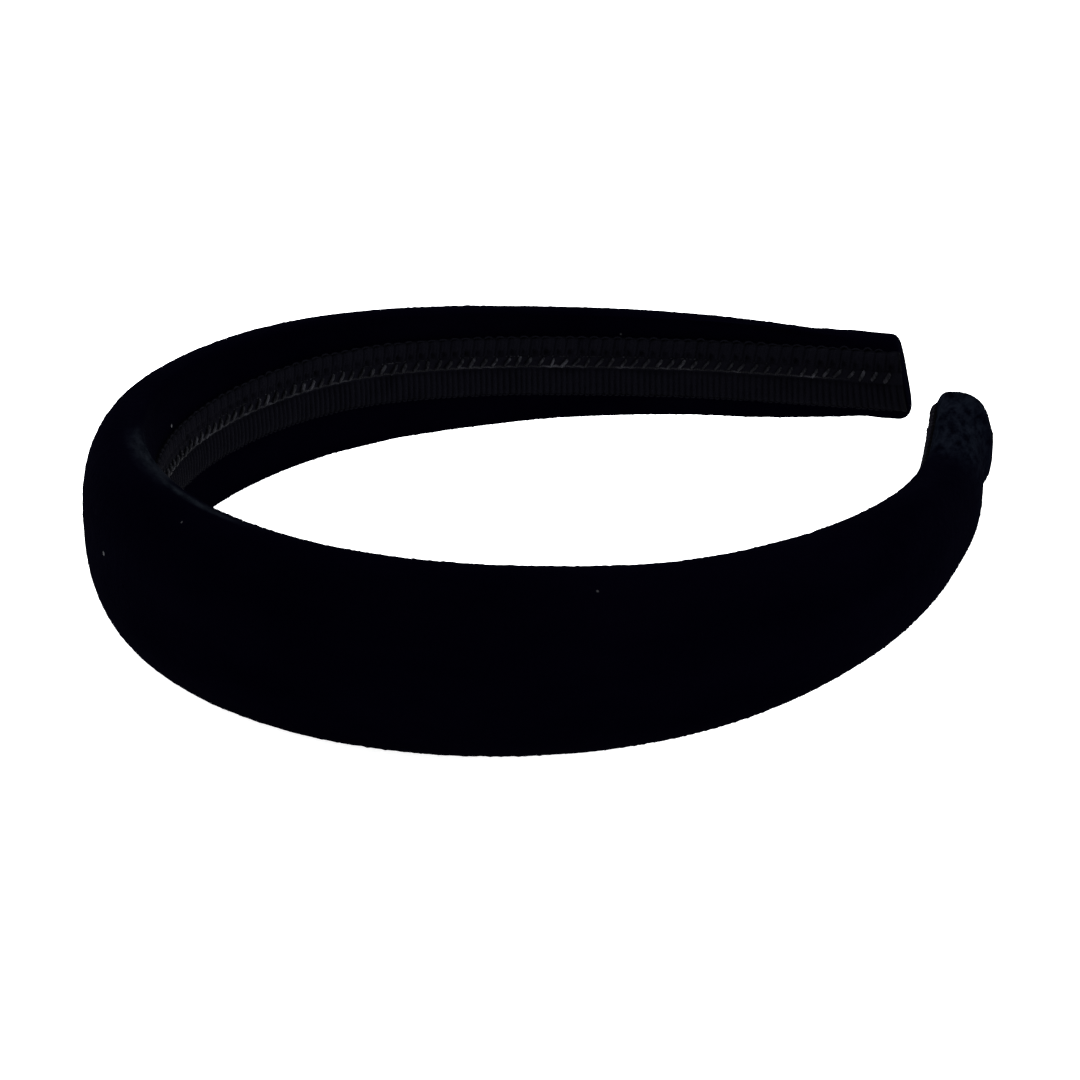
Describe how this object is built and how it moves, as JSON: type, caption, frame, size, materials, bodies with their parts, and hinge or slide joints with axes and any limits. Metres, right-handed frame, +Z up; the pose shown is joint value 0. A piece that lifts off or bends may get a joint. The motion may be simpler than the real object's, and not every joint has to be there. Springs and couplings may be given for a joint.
{
  "type": "headband",
  "caption": "Padded velvet headband: a springy hoop, wide at the crown and narrow at the tips, with a ribbed braid along its inner face.",
  "frame": {"origin": "on the surface that the headband lies on, under the middle of its outer box", "axes": "+Y from the crown towards the tips, +X towards the right arm, +Z up; the hoop's plane leans 2.5 degrees down towards the tips, as the band lies on its lower edge"},
  "size_m": [0.125, 0.149, 0.028],
  "materials": {
    "velvet": "black velvet, short dense pile",
    "tip_velvet": "black velvet, pile brushed the other way",
    "braid": "ribbed black braid",
    "stitching": "glossy black thread",
    "foam": "soft polyurethane foam",
    "core": "matt springy plastic",
    "foam_tape": "double-sided tape",
    "glue": "dried glue film"
  },
  "bodies": {
    "crown": {"crown_core": "core", "crown_foam_tape": "foam_tape", "crown_foam": "foam", "crown_cover": "velvet", "crown_glue_film": "glue", "crown_braid": "braid", "crown_braid_stitch": "stitching"},
    "right_arm": {"right_core": "core", "right_foam_tape": "foam_tape", "right_foam": "foam", "right_cover": "velvet", "right_glue_film": "glue", "right_braid": "braid", "right_braid_stitch": "stitching", "right_tip_cap": "tip_velvet"},
    "left_arm": {"left_core": "core", "left_foam_tape": "foam_tape", "left_foam": "foam", "left_cover": "velvet", "left_glue_film": "glue", "left_braid": "braid", "left_braid_stitch": "stitching", "left_tip_cap": "tip_velvet"}
  },
  "joints": [
    {"name": "right_arm_flex", "type": "hinge", "parent": "crown", "child": "right_arm", "pos_m": [0.05627, -0.03903, 0.01301], "axis": [0, -0.0436, -0.999], "range_deg": [0, 25], "stiffness_Nm_per_rad": 0.4},
    {"name": "left_arm_flex", "type": "hinge", "parent": "crown", "child": "left_arm", "pos_m": [-0.05627, -0.03903, 0.01301], "axis": [0, 0.0436, 0.999], "range_deg": [0, 25], "stiffness_Nm_per_rad": 0.4}
  ]
}
